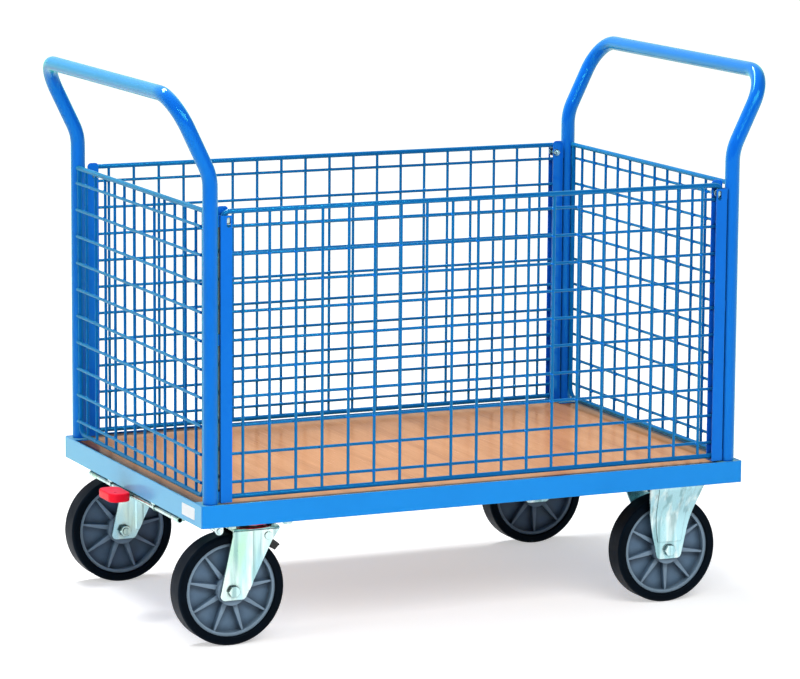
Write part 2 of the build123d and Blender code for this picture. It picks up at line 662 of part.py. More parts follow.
SIDES = {"right": -1, "left": 1}
fixed_axle_x = castor_x
rest_axle_x = -castor_x - SWIVEL_TRAIL
RIB_PHASES = {"swivel_right": RIB_PHASE_SWIVEL_RIGHT, "swivel_left": RIB_PHASE_SWIVEL_LEFT,
              "fixed_right": RIB_PHASE_FIXED, "fixed_left": RIB_PHASE_FIXED}
for side_name, side in SIDES.items():
    for end_name, axle_x in (("swivel", rest_axle_x), ("fixed", fixed_axle_x)):
        label = end_name + "_" + side_name
        place = upright_wheel(axle_x, side)
        save("wheel_rim_" + label, place * wheel_rim(RIB_PHASES[label]))
        save("tyre_" + label, place * tyre())
        save("wheel_bearing_" + label, place * wheel_bearing())
save("fixed_axle_bolts", *[at_axle(fixed_axle_x, side) * axle_bolt() for side in SIDES.values()])
save("fixed_axle_nuts", *[at_axle(fixed_axle_x, side) * axle_nut() for side in SIDES.values()])
for side_name, side in SIDES.items():
    save("swivel_axle_bolt_" + side_name, at_axle(rest_axle_x, side) * axle_bolt())
    save("swivel_axle_nut_" + side_name, at_axle(rest_axle_x, side) * axle_nut())


# Castor plates and their fasteners
def top_plate(length, width, bottom):
    return extrude(Pos(0, 0, bottom) * RectangleRounded(length, width, PLATE_CORNER_RADIUS),
                   amount=FRAME_UNDERSIDE - bottom)


def bolt_pattern_holes(bottom):
    diameter = CASTOR_BOLT_DIAMETER + 2 * BOLT_HOLE_CLEARANCE
    ends = (bottom - CROWN_DROP, FRAME_UNDERSIDE + CROWN_DROP)
    return [rod_z(diameter, x, y, ends) for x, y in castor_bolt_places()]


def castor_bolt(bottom):
    end = flange_top + CASTOR_NUT_HEIGHT + BOLT_END
    shank = rod_z(CASTOR_BOLT_DIAMETER, 0, 0, (bottom, end))
    return shank + Pos(0, 0, bottom) * Rot(180, 0, 0) * hexagon(CASTOR_BOLT_FLATS, CASTOR_BOLT_HEAD)


def castor_nut():
    nut = Pos(0, 0, FRAME_UNDERSIDE + CROSS_WALL) * hexagon(CASTOR_BOLT_FLATS, CASTOR_NUT_HEIGHT)
    return nut - rod_z(CASTOR_BOLT_DIAMETER + 2 * SEAT_CLEARANCE, 0, 0, (FRAME_UNDERSIDE, rail_top))


bolts = []
nuts = []
for end_x, plate_bottom in ((-castor_x, swivel_plate_bottom), (castor_x, fixed_plate_bottom)):
    for side in SIDES.values():
        for x, y in castor_bolt_places():
            bolts.append(Pos(end_x + x, side * castor_y + y, 0) * castor_bolt(plate_bottom))
            nuts.append(Pos(end_x + x, side * castor_y + y, 0) * castor_nut())
save("castor_bolts", *bolts)
save("castor_nuts", *nuts)


# Fixed forks: a plate with two splayed and pressed walls
def mirrored_section(half):
    """Closed section from the points of its +Y half, listed from the middle to the middle."""
    return Polygon(*half, *[(-y, z) for y, z in reversed(half)], align=None)


def foot_outline(axle_x, top):
    """Lower end of a fork wall from foot to top edge, seen from the side; top lists the upper points."""
    foot_middle = axle_x - FORK_FOOT_SHIFT
    sketch = Polygon((foot_middle - FORK_FOOT_HALF_WIDTH, fork_foot),
                     (foot_middle + FORK_FOOT_HALF_WIDTH, fork_foot), *top, align=None)
    return fillet(sketch.vertices().group_by(Axis.Y)[0], FORK_FOOT_RADIUS)


def fixed_fork():
    top_outer = FIXED_PLATE_WIDTH / 2
    splay_end = fixed_plate_bottom - FIXED_SPLAY_HEIGHT
    top_inner = top_outer - FIXED_SPLAY_WALL
    section = mirrored_section([(top_outer, FRAME_UNDERSIDE), (top_outer, fixed_plate_bottom),
                                (fork_outer, splay_end), (fork_outer, fork_foot - FORK_FOOT_DROP),
                                (fork_inner, fork_foot - FORK_FOOT_DROP), (fork_inner, splay_end),
                                (top_inner, fixed_plate_bottom)])
    bends = section.vertices().filter_by_position(Axis.Y, splay_end - FORK_WALL, splay_end + FORK_WALL)
    section = fillet(bends, FIXED_SPLAY_RADIUS)
    folded = strip_along_x(section, (-FIXED_PLATE_LENGTH, FIXED_PLATE_LENGTH))
    outline = foot_outline(FORK_FOOT_SHIFT, [(FIXED_WALL_HALF_LENGTH, fixed_plate_bottom),
                                             (FIXED_WALL_HALF_LENGTH, FRAME_UNDERSIDE),
                                             (-FIXED_WALL_HALF_LENGTH, FRAME_UNDERSIDE),
                                             (-FIXED_WALL_HALF_LENGTH, fixed_plate_bottom)])
    fork = folded & plate_along_y(outline, (-FIXED_PLATE_WIDTH, FIXED_PLATE_WIDTH))
    fork += raised_middles(section)
    fork += top_plate(FIXED_PLATE_LENGTH, FIXED_PLATE_WIDTH, fixed_plate_bottom)
    fork -= rod_y(AXLE_DIAMETER + 2 * BOLT_HOLE_CLEARANCE, 0, (-FRAME_WIDTH, FRAME_WIDTH), wheel_radius)
    return fork - bolt_pattern_holes(fixed_plate_bottom)


def raised_middles(section):
    """Middles of both walls above the axle, pressed outwards."""
    low = wheel_radius + FIXED_PANEL_RISE
    outline = Polygon((-FIXED_PANEL_LOW_HALF, low), (FIXED_PANEL_LOW_HALF, low),
                      (FIXED_PANEL_TOP_HALF, fixed_plate_bottom),
                      (-FIXED_PANEL_TOP_HALF, fixed_plate_bottom), align=None)
    middles = []
    for sign in (-1, 1):
        pressed = strip_along_x(Pos(sign * PRESS_RIB_HEIGHT, 0) * section,
                                (-FIXED_PLATE_LENGTH, FIXED_PLATE_LENGTH))
        middles.append(pressed & plate_along_y(outline, span(sign, 0, FIXED_PLATE_WIDTH / 2)))
    return middles


def press_ribs(outline, axle_x, top):
    """Raised strips pressed into the outer faces of both walls, in front of the axle."""
    x = (axle_x + PRESS_RIB_REAR, axle_x + PRESS_RIB_REAR + PRESS_RIB_WIDTH)
    ribs = []
    for sign in (-1, 1):
        low = sign * (fork_outer - FORK_WALL / 2)
        base = sign * fork_outer
        high = sign * (fork_outer + PRESS_RIB_HEIGHT)
        section = Polygon((x[0], low), (x[0], base), (x[0] + PRESS_RIB_SLOPE, high),
                          (x[1] - PRESS_RIB_SLOPE, high), (x[1], base), (x[1], low), align=None)
        strip = extrude(Pos(0, 0, wheel_radius) * section, amount=top - wheel_radius, dir=(0, 0, 1))
        ribs.append(strip & plate_along_y(outline, (-FIXED_PLATE_WIDTH, FIXED_PLATE_WIDTH)))
    return ribs


for side_name, side in SIDES.items():
    save("fixed_fork_" + side_name, Pos(castor_x, side * castor_y, 0) * fixed_fork())


# Swivel heads: plate with the upper race, kingpin, balls, and the fork with the lower race
def ball_groove():
    return Pos(0, 0, ball_z) * Torus(BALL_CIRCLE_RADIUS, BALL_DIAMETER / 2 + BALL_CLEARANCE)


def swivel_plate():
    plate = top_plate(SWIVEL_PLATE_LENGTH, SWIVEL_PLATE_WIDTH, swivel_plate_bottom)
    race = rod_z(2 * UPPER_RACE_RADIUS, 0, 0, (upper_race_bottom, FRAME_UNDERSIDE))
    race -= rod_z(2 * RACE_INNER_RADIUS, 0, 0, (crown_bottom, swivel_plate_bottom))
    plate += race
    plate -= rod_z(KINGPIN_DIAMETER + 2 * SEAT_CLEARANCE, 0, 0, (crown_bottom, rail_top))
    return plate - ball_groove() - bolt_pattern_holes(swivel_plate_bottom)


def kingpin():
    flange_high = crown_bottom - KINGPIN_FLANGE_GAP
    flange_low = flange_high - KINGPIN_FLANGE_HEIGHT
    pin = rod_z(KINGPIN_DIAMETER, 0, 0, (flange_low, FRAME_UNDERSIDE - KINGPIN_TOP_RECESS))
    return pin + rod_z(KINGPIN_FLANGE_DIAMETER, 0, 0, (flange_low, flange_high))


def balls():
    step = 360 / BALL_COUNT
    return [Rot(0, 0, step * place) * Pos(BALL_CIRCLE_RADIUS, 0, ball_z) * Sphere(BALL_DIAMETER / 2)
            for place in range(BALL_COUNT)]


def swivel_fork():
    section = Rectangle(2 * fork_outer, crown_top - fork_foot, align=(Align.CENTER, Align.MAX))
    section = fillet(section.vertices().group_by(Axis.Y)[-1], CROWN_BEND_RADIUS)
    hollow = Rectangle(2 * fork_inner, crown_top - fork_foot, align=(Align.CENTER, Align.MAX))
    hollow = fillet(hollow.vertices().group_by(Axis.Y)[-1], CROWN_INNER_RADIUS)
    section = Pos(0, crown_top) * section - Pos(0, crown_bottom) * hollow
    folded = strip_along_x(section, (-WHEEL_DIAMETER, WHEEL_DIAMETER))
    outline = foot_outline(swivel_axle_x, [(FORK_KNEE_X, FRAME_UNDERSIDE - FORK_KNEE_DROP),
                                           (FORK_FRONT, crown_bottom), (FORK_FRONT, crown_top),
                                           (-FORK_REAR, crown_top)])
    fork = folded & plate_along_y(outline, (-WHEEL_DIAMETER, WHEEL_DIAMETER))
    fork += press_ribs(outline, swivel_axle_x, crown_bottom)
    fork += rod_z(2 * LOWER_RACE_RADIUS, 0, 0, (crown_bottom, lower_race_top))
    fork -= rod_z(2 * RACE_INNER_RADIUS, 0, 0, (crown_top, lower_race_top))
    fork -= ball_groove()
    fork -= rod_z(KINGPIN_DIAMETER + 2 * RUNNING_CLEARANCE, 0, 0, (fork_foot, rail_top))
    fork -= block((CROWN_NOTCH_START, FORK_FRONT + FORK_WALL), about(0, CROWN_NOTCH_WIDTH),
                  (fork_foot, rail_top))
    across = about(0, 4 * fork_outer)
    fork -= rod_y(AXLE_DIAMETER + 2 * BOLT_HOLE_CLEARANCE, swivel_axle_x, across, wheel_radius)
    return fork - rod_y(SHOE_PIN_DIAMETER + 2 * SEAT_CLEARANCE, SHOE_PIVOT_X, across, shoe_pivot_z)


def at_kingpin(side):
    return Pos(-castor_x, side * castor_y, 0)


save("swivel_plates", *[at_kingpin(side) * swivel_plate() for side in SIDES.values()])
save("kingpins", *[at_kingpin(side) * kingpin() for side in SIDES.values()])
for side_name, side in SIDES.items():
    save("swivel_fork_" + side_name, at_kingpin(side) * swivel_fork())
    save("swivel_balls_" + side_name, *[at_kingpin(side) * ball for ball in balls()])


# Brake rings, which the rockers push down round the swivel heads
def brake_ring():
    body = rod_z(2 * RING_OUTER_RADIUS, 0, 0, (ring_bottom, ring_top))
    body -= rod_z(2 * ring_inner_radius, 0, 0, (crown_bottom, rail_top))
    notch_width = ROCKER_NOSE_WIDTH + 2 * NOTCH_SIDE_GAP
    return body - block((-2 * RING_OUTER_RADIUS, 0), about(0, notch_width), (notch_floor, rail_top))


for side_name, side in SIDES.items():
    save("brake_ring_" + side_name, at_kingpin(side) * brake_ring())


# Rockers: the tail lies over the brake bar's finger, the nose in the ring's notch
rocker_x = -castor_x - ROCKER_PIVOT_OFFSET
finger_top = bar_z + FINGER_THICKNESS / 2
finger_tip_x = bar_x + FINGER_REACH
finger_outer_y = bar_half_length - FINGER_END_GAP
finger_inner_y = finger_outer_y - FINGER_WIDTH
hub_half = BRACKET_SPAN / 2 - ROCKER_HUB_GAP


def rocker():
    """Rocker of the right-hand castor."""
    middle_y = -castor_y
    plate_y = about(middle_y, 2 * ROCKER_PLATE_HALF_WIDTH)
    tail_z = (finger_top + FINGER_PLAY, finger_top + FINGER_PLAY + ROCKER_PLATE_THICKNESS)
    nose_low = notch_floor + ROCKER_NOSE_GAP
    nose_tip = -castor_x - RING_OUTER_RADIUS + ROCKER_NOSE_RING_OVERLAP
    web_x = about(rocker_x, ROCKER_WEB)
    body = rod_y(ROCKER_HUB_DIAMETER, rocker_x, about(middle_y, 2 * hub_half), rocker_z)
    body += block(web_x, plate_y, (rocker_z, tail_z[1]))
    body += block((rocker_x - ROCKER_TAIL_START, web_x[1]), plate_y, tail_z)
    body += block((finger_tip_x - ROCKER_TAIL_FINGER_OVERLAP, rocker_x - ROCKER_TAIL_START),
                  (plate_y[0], -finger_inner_y + FINGER_END_GAP), tail_z)
    body += block((web_x[0], nose_tip), about(middle_y, ROCKER_NOSE_WIDTH),
                  (nose_low, nose_low + ROCKER_NOSE_THICKNESS))
    bore = ROCKER_PIN_DIAMETER + 2 * RUNNING_CLEARANCE
    return body - rod_y(bore, rocker_x, about(middle_y, 2 * BRACKET_SPAN), rocker_z)


def rocker_bracket():
    """Bracket of the right-hand rocker under the cross member."""
    ear_y = BRACKET_SPAN / 2 + BRACKET_EAR
    width = about(rocker_x, BRACKET_WIDTH)
    bracket = block(width, about(-castor_y, 2 * ear_y), (FRAME_UNDERSIDE - BRACKET_TOP, FRAME_UNDERSIDE))
    for low, high in ((-ear_y, -BRACKET_SPAN / 2), (BRACKET_SPAN / 2, ear_y)):
        y = (low - castor_y, high - castor_y)
        bracket += block(width, y, (rocker_z, FRAME_UNDERSIDE))
        bracket += rod_y(BRACKET_WIDTH, rocker_x, y, rocker_z)
    bore = ROCKER_PIN_DIAMETER + 2 * SEAT_CLEARANCE
    return bracket - rod_y(bore, rocker_x, about(-castor_y, 2 * BRACKET_SPAN), rocker_z)


def rocker_pin():
    """Riveted pin of the right-hand rocker."""
    ear_y = BRACKET_SPAN / 2 + BRACKET_EAR
    end_y = ear_y + ROCKER_PIN_HEAD
    pin = rod_y(ROCKER_PIN_DIAMETER, rocker_x, about(-castor_y, 2 * end_y), rocker_z)
    for low, high in ((-end_y, -ear_y), (ear_y, end_y)):
        pin += rod_y(ROCKER_PIN_HEAD_DIAMETER, rocker_x, (low - castor_y, high - castor_y), rocker_z)
    return pin


right_rocker, left_rocker = mirrored_pair(rocker())
save("brake_rocker_right", right_rocker)
save("brake_rocker_left", left_rocker)
save("rocker_brackets", *mirrored_pair(rocker_bracket()))
save("rocker_pins", *mirrored_pair(rocker_pin()))


# Brake bar with a finger at each end and the arm of the pedal
def brake_bar():
    bar = rod_y(BAR_DIAMETER, bar_x, (-bar_half_length, bar_half_length), bar_z)
    for sign in (-1, 1):
        bar += block((bar_x, finger_tip_x), span(sign, finger_inner_y, finger_outer_y),
                     about(bar_z, FINGER_THICKNESS))
    bar += block((bar_x - PEDAL_ARM_REACH, bar_x), about(PEDAL_Y, PEDAL_ARM_WIDTH),
                 about(bar_z, PEDAL_ARM_THICKNESS))
    return bar - rod_y(BAR_DIAMETER - 2 * BAR_WALL, bar_x, (-FRAME_WIDTH, FRAME_WIDTH), bar_z)


def pedal_pad():
    """Foot pad, pushed over the end of the arm."""
    inner_x = -(half_length + PEDAL_RAIL_GAP)
    outline = RectangleRounded(PEDAL_LENGTH, PEDAL_WIDTH, PEDAL_CORNER_RADIUS)
    low = bar_z + PEDAL_RISE - PEDAL_THICKNESS / 2
    pad = extrude(Pos(inner_x - PEDAL_LENGTH / 2, PEDAL_Y, low) * outline, amount=PEDAL_THICKNESS)
    pad = fillet(pad.edges().group_by(Axis.Z)[-1] + pad.edges().group_by(Axis.Z)[0], PEDAL_EDGE_RADIUS)
    pocket = block((bar_x - PEDAL_ARM_REACH - SEAT_CLEARANCE, 0),
                   about(PEDAL_Y, PEDAL_ARM_WIDTH + 2 * SEAT_CLEARANCE),
                   about(bar_z, PEDAL_ARM_THICKNESS + 2 * SEAT_CLEARANCE))
    return pad - pocket


def bar_hanger(sign):
    """Angle under the end rail, with the brake bar turning in it."""
    y = sign * hanger_y
    width = about(bar_x, HANGER_WIDTH)
    hanger = block(width, about(y, HANGER_FOOT_LENGTH),
                   (FRAME_UNDERSIDE - HANGER_FOOT_THICKNESS, FRAME_UNDERSIDE))
    hanger += block(width, about(y, HANGER_TAB), (bar_z, FRAME_UNDERSIDE))
    hanger += rod_y(HANGER_WIDTH, bar_x, about(y, HANGER_TAB), bar_z)
    bore = BAR_DIAMETER + 2 * RUNNING_CLEARANCE
    return hanger - rod_y(bore, bar_x, about(y, 2 * HANGER_FOOT_LENGTH), bar_z)


save("brake_bar", brake_bar())
save("pedal_pad", pedal_pad())
save("bar_hangers", bar_hanger(-1), bar_hanger(1))


# Brake shoes in the swivel forks: carrier and pad are drawn pressed on, then turned back to rest
def axle_band(inner, outer, width, from_degrees, to_degrees):
    """Part of a ring round the swivel axle, between two angles above the horizontal."""
    section = Rot(90, 0, 0) * Pos((inner + outer) / 2, 0) * Rectangle(outer - inner, width)
    ring_part = revolve(section, axis=Axis.Z, revolution_arc=to_degrees - from_degrees)
    return Pos(swivel_axle_x, 0, wheel_radius) * Rot(90, 0, 0) * Rot(0, 0, from_degrees) * ring_part


def released(solid):
    """Turn a piece about the shoe's pivot from its pressed place to its rest place."""
    pivot = Pos(SHOE_PIVOT_X, 0, shoe_pivot_z)
    return pivot * Rot(0, -SHOE_TRAVEL_DEGREES, 0) * pivot.inverse() * solid


pad_inner_radius = wheel_radius + SHOE_APPLIED_GAP
pad_outer_radius = pad_inner_radius + PAD_THICKNESS
shoe_width = 2 * (fork_inner - SHOE_HUB_GAP)


def brake_pad():
    band = axle_band(pad_inner_radius, pad_outer_radius, PAD_WIDTH, PAD_FROM_DEGREES, PAD_TO_DEGREES)
    return released(band)


def brake_shoe():
    """Lever with a hub on the pivot pin, a nose under the ring and a carrier for the pad."""
    hub_radius = SHOE_HUB_DIAMETER / 2
    inner = pad_outer_radius + SEAT_CLEARANCE
    pivot_reach = Vector(SHOE_PIVOT_X - swivel_axle_x, shoe_pivot_z - wheel_radius)
    pivot_degrees = pivot_reach.get_angle(Vector(1, 0))
    carrier = axle_band(inner, inner + CARRIER_THICKNESS, CARRIER_WIDTH, PAD_FROM_DEGREES, pivot_degrees)
    nose_x = about(SHOE_NOSE_X, SHOE_NOSE_LENGTH)
    nose_top = ring_bottom - SHOE_NOSE_GAP
    half = hub_radius / 2
    nose_outline = Polygon((SHOE_PIVOT_X, shoe_pivot_z + half), (nose_x[0], shoe_pivot_z + hub_radius),
                           (nose_x[0], nose_top), (nose_x[1], nose_top), (nose_x[1], shoe_pivot_z + half),
                           (SHOE_PIVOT_X + half, shoe_pivot_z - half), align=None)
    shoe = rod_y(SHOE_HUB_DIAMETER, SHOE_PIVOT_X, about(0, shoe_width), shoe_pivot_z)
    shoe += released(carrier)
    shoe += plate_along_y(nose_outline, about(0, SHOE_NOSE_WIDTH))
    bore = SHOE_PIN_DIAMETER + 2 * RUNNING_CLEARANCE
    return shoe - rod_y(bore, SHOE_PIVOT_X, about(0, 2 * shoe_width), shoe_pivot_z)


def shoe_pin():
    end = fork_outer + SHOE_PIN_HEAD
    pin = rod_y(SHOE_PIN_DIAMETER, SHOE_PIVOT_X, (-end, end), shoe_pivot_z)
    for y in ((-end, -fork_outer), (fork_outer, end)):
        pin += rod_y(SHOE_PIN_HEAD_DIAMETER, SHOE_PIVOT_X, y, shoe_pivot_z)
    return pin


for side_name, side in SIDES.items():
    save("brake_shoe_" + side_name, at_kingpin(side) * brake_shoe())
    save("brake_pad_" + side_name, at_kingpin(side) * brake_pad())
    save("shoe_pin_" + side_name, at_kingpin(side) * shoe_pin())
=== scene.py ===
import json
import math
import random

import bmesh
import bpy
from mathutils import Matrix, Vector


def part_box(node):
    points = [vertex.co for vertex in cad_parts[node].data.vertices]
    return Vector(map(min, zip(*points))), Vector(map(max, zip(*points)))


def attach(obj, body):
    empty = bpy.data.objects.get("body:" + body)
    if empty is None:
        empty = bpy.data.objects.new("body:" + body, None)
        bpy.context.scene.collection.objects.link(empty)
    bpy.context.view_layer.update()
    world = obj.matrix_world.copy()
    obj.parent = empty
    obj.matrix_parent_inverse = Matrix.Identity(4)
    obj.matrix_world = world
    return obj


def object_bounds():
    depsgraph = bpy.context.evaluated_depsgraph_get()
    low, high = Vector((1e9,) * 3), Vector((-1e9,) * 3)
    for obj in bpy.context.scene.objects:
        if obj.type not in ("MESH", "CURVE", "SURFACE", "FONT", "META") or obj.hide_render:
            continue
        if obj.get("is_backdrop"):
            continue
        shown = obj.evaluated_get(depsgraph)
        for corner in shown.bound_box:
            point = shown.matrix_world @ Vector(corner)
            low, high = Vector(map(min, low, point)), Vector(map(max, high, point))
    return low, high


# Looks of the mesh-sided platform trolley, in metres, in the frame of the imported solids.
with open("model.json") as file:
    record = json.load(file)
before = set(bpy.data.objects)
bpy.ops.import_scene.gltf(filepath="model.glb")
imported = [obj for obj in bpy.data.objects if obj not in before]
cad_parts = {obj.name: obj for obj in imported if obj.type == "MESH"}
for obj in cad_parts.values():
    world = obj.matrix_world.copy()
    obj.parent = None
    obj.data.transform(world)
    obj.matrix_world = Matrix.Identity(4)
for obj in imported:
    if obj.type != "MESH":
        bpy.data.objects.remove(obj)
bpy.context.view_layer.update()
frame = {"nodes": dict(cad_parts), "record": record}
nodes = frame["nodes"]

# Camera: angles in degrees, lens and sensor in millimetres
CAMERA_AZIMUTH = -24.542
CAMERA_PITCH = 9.597
CAMERA_ROLL = 0.412
CAMERA_DISTANCE = 7.434
CAMERA_TARGET_HEIGHT = 0.4718
CAMERA_LENS = 180.42
SENSOR_WIDTH = 36.0

# Lamps: place, aim, size and power in watts
TOP_PLACE = (-0.6, 1.1, 3.1)
TOP_AIM = (-0.1, 0.0, 0.3)
TOP_SIZE = (2.2, 0.4)
TOP_POWER = 104.0
FRONT_PLACE = (-0.1, -3.0, 2.6)
FRONT_AIM = (0.0, -0.3, 0.4)
FRONT_SIZE = (2.2, 1.6)
FRONT_POWER = 70.0
LEFT_PLACE = (-3.1, -1.0, 1.3)
LEFT_AIM = (-0.5, 0.0, 0.4)
LEFT_SIZE = (1.2, 1.4)
LEFT_POWER = 24.0
STRIP_PLACES = ((1.6, -4.2, 3.2), (-2.4, -3.6, 3.6))
STRIP_AIM = (0.0, 0.0, 0.8)
STRIP_SIZE = (0.15, 1.8)
STRIP_POWER = 20.0

# World: strength at the horizon and overhead, and of the backdrop, which starts and is full
# where a direction's share of +Y reaches the two values
AMBIENT_HORIZON = 0.08
AMBIENT_TOP = 0.30
BACKDROP_IN_GLOSS = 0.8
BACKDROP_START = 0.25
BACKDROP_FULL = 0.55

# Floor, which is lifted towards white away from the trolley
FLOOR_SIZE = 60.0
FLOOR_COLOUR = (0.80, 0.80, 0.80)
FLOOR_ROUGHNESS = 0.9
FLOOR_LIFT_NEAR = 0.48
FLOOR_LIFT_FAR = 0.92
FLOOR_NEAR = 1.5
FLOOR_FAR = 5.0

# Colours
WHITE = (1.0, 1.0, 1.0)
BLUE = (0.005, 0.215, 0.78)
BLUE_DEEP = (0.004, 0.195, 0.73)
BLUE_GLOSS = (0.10, 1.0, 0.85)
BLUE_SHEEN = (0.40, 1.0, 0.68)
TUBE_BLUE = (0.003, 0.130, 0.69)
TUBE_BLUE_DEEP = (0.002, 0.118, 0.64)
TUBE_GLOSS_TINT = (0.10, 1.0, 0.60)
TUBE_SHEEN = (0.12, 0.95, 0.55)
# Wire paint: a darker blue as painted shade inside the mesh, and darker still on the side panels as painted
# shade on the wires' sides
WIRE_BLUE = (0.002, 0.150, 0.50)
WIRE_BLUE_DEEP = (0.001, 0.120, 0.42)
WIRE_GLOSS_TINT = (0.03, 0.66, 1.0)
SIDE_WIRE_BLUE = (0.004, 0.122, 0.41)
SIDE_WIRE_BLUE_DEEP = (0.003, 0.100, 0.34)
NAVY_CREVICE_SHADE = (0.0005, 0.012, 0.050)
BEECH_LIGHT = (0.620, 0.298, 0.124)
BEECH = (0.550, 0.247, 0.095)
BEECH_DARK = (0.430, 0.178, 0.062)
BEECH_SHADE = (0.280, 0.105, 0.010)
BEECH_EDGE_SHADOW = (0.030, 0.020, 0.012)
ZINC = (0.54, 0.72, 0.67)
ZINC_GREEN = (0.40, 0.72, 0.52)
ZINC_BLUE = (0.42, 0.70, 0.78)
ZINC_PALE = (0.78, 0.90, 0.88)
ZINC_DULL = (0.17, 0.33, 0.35)
ZINC_CORNER_SHADE = (0.020, 0.050, 0.060)
RIM_GREY = (0.084, 0.156, 0.246)
RIM_SHADE = (0.022, 0.042, 0.068)
RIM_EDGE_GREY = (0.230, 0.335, 0.430)
RIB_HIGHLIGHT_GREY = (0.310, 0.420, 0.520)
TYRE_BLACK = (0.001, 0.002, 0.004)
TYRE_GREY = (0.003, 0.008, 0.016)
TYRE_GLOSS = (0.45, 0.72, 1.0)
PAD_BLACK = (0.012, 0.012, 0.012)
PAD_GREY = (0.030, 0.030, 0.031)
RED = (1.0, 0.008, 0.032)
RED_DEEP = (0.92, 0.006, 0.024)
LABEL_WHITE = (0.82, 0.87, 0.89)
LABEL_GREY = (0.76, 0.81, 0.83)

# Axes along which a place is measured
ALONG_X = (1.0, 0.0, 0.0)
ALONG_Y = (0.0, 1.0, 0.0)
ACROSS_Y = (1.0, 0.0, 1.0)

# Usual range of a noise
NOISE_LOW = 0.30
NOISE_HIGH = 0.70


class Nodes:
    """A node tree, with short ways to add nodes and to join them."""

    def __init__(self, tree):
        self.tree = tree

    def add(self, kind, **values):
        node = self.tree.nodes.new(kind)
        for key, value in values.items():
            setattr(node, key, value)
        return node

    def link(self, out_socket, in_socket):
        self.tree.links.new(out_socket, in_socket)

    def combine(self, operation, value_a, value_b):
        """Product of two values, the larger of them, or another operation's result."""
        node = self.add("ShaderNodeMath", operation=operation)
        self.link(value_a, node.inputs[0])
        self.link(value_b, node.inputs[1])
        return node.outputs["Value"]

    def between(self, value, low, high, to_low, to_high):
        """Value moved from one range to another, and held there."""
        node = self.add("ShaderNodeMapRange")
        numbers = (low, high, to_low, to_high)
        for socket, number in zip(("From Min", "From Max", "To Min", "To Max"), numbers):
            node.inputs[socket].default_value = number
        self.link(value, node.inputs["Value"])
        return node.outputs["Result"]

    def seen_directly(self):
        """One for rays from the camera, from gloss and through glass, and nought for the rest."""
        path = self.add("ShaderNodeLightPath")
        total = path.outputs["Is Camera Ray"]
        for name in ("Is Glossy Ray", "Is Transmission Ray"):
            total = self.combine("MAXIMUM", total, path.outputs[name])
        return total


class Shader(Nodes):
    """A material made of nodes round one Principled shader."""

    def __init__(self, name):
        self.material = bpy.data.materials.new(name)
        self.material.use_nodes = True
        super().__init__(self.material.node_tree)
        self.surface = self.tree.nodes["Principled BSDF"]

    def set(self, **values):
        for key, value in values.items():
            self.surface.inputs[key.replace("_", " ")].default_value = value

    def place(self, scale=(1.0, 1.0, 1.0), middle=(0.0, 0.0, 0.0)):
        """Coordinates of the object in metres, moved to a middle and stretched."""
        source = self.add("ShaderNodeTexCoord")
        mapping = self.add("ShaderNodeMapping")
        mapping.inputs["Location"].default_value = [-a * b for a, b in zip(middle, scale)]
        mapping.inputs["Scale"].default_value = scale
        self.link(source.outputs["Object"], mapping.inputs["Vector"])
        return mapping.outputs["Vector"]

    def away(self, axes=(1.0, 1.0, 1.0), middle=(0.0, 0.0, 0.0)):
        """Distance from a middle, measured along some of the axes."""
        node = self.add("ShaderNodeVectorMath", operation="LENGTH")
        self.link(self.place(axes, middle), node.inputs[0])
        return node.outputs["Value"]

    def noise(self, vector, scale=1.0, detail=3.0, roughness=0.55):
        node = self.add("ShaderNodeTexNoise")
        node.inputs["Scale"].default_value = scale
        node.inputs["Detail"].default_value = detail
        node.inputs["Roughness"].default_value = roughness
        self.link(vector, node.inputs["Vector"])
        return node.outputs["Fac"]

    def ramp(self, value, *stops):
        """Colour ramp through stops of place and colour."""
        node = self.add("ShaderNodeValToRGB")
        elements = node.color_ramp.elements
        while len(elements) < len(stops):
            elements.new(1.0)
        for element, (position, colour) in zip(elements, stops):
            element.position = position
            element.color = (*colour, 1.0)
        self.link(value, node.inputs["Fac"])
        return node.outputs["Color"]

    def mix(self, value, colour_a, colour_b):
        """Colour between two colours, each a socket or a plain colour."""
        node = self.add("ShaderNodeMix", data_type="RGBA")
        self.link(value, node.inputs["Factor"])
        for socket, colour in (("A", colour_a), ("B", colour_b)):
            target = [entry for entry in node.inputs if entry.name == socket and entry.type == "RGBA"][0]
            if isinstance(colour, tuple):
                target.default_value = (*colour, 1.0)
            else:
                self.link(colour, target)
        return [entry for entry in node.outputs if entry.type == "RGBA"][0]

    def blend(self, value, colour_a, colour_b, low, high, share):
        """First colour, with up to a share of the second as a value goes from low to high."""
        return self.mix(self.between(value, low, high, 0.0, share), colour_a, colour_b)

    def painted_corner_shade(self, open_colour, corner_colour, distance, low, high, share):
        """Colour with a share of another one within a distance of a corner, as painted shade."""
        node = self.add("ShaderNodeAmbientOcclusion", samples=6)
        node.inputs["Distance"].default_value = distance
        closed = self.between(node.outputs["AO"], low, high, share, 0.0)
        return self.mix(closed, open_colour, corner_colour)

    def bump(self, value, strength, distance, edge_radius=0.0):
        """Fine relief, over edges that are rounded in the shading where a radius is given."""
        node = self.add("ShaderNodeBump")
        node.inputs["Strength"].default_value = strength
        node.inputs["Distance"].default_value = distance
        self.link(value, node.inputs["Height"])
        if edge_radius:
            bevel = self.add("ShaderNodeBevel", samples=4)
            bevel.inputs["Radius"].default_value = edge_radius
            self.link(bevel.outputs["Normal"], node.inputs["Normal"])
        self.link(node.outputs["Normal"], self.surface.inputs["Normal"])

    def colour(self, socket):
        self.link(socket, self.surface.inputs["Base Color"])

    def rough(self, value, smooth, dull):
        """Roughness that follows a noise through its usual range."""
        roughness = self.between(value, NOISE_LOW, NOISE_HIGH, smooth, dull)
        self.link(roughness, self.surface.inputs["Roughness"])


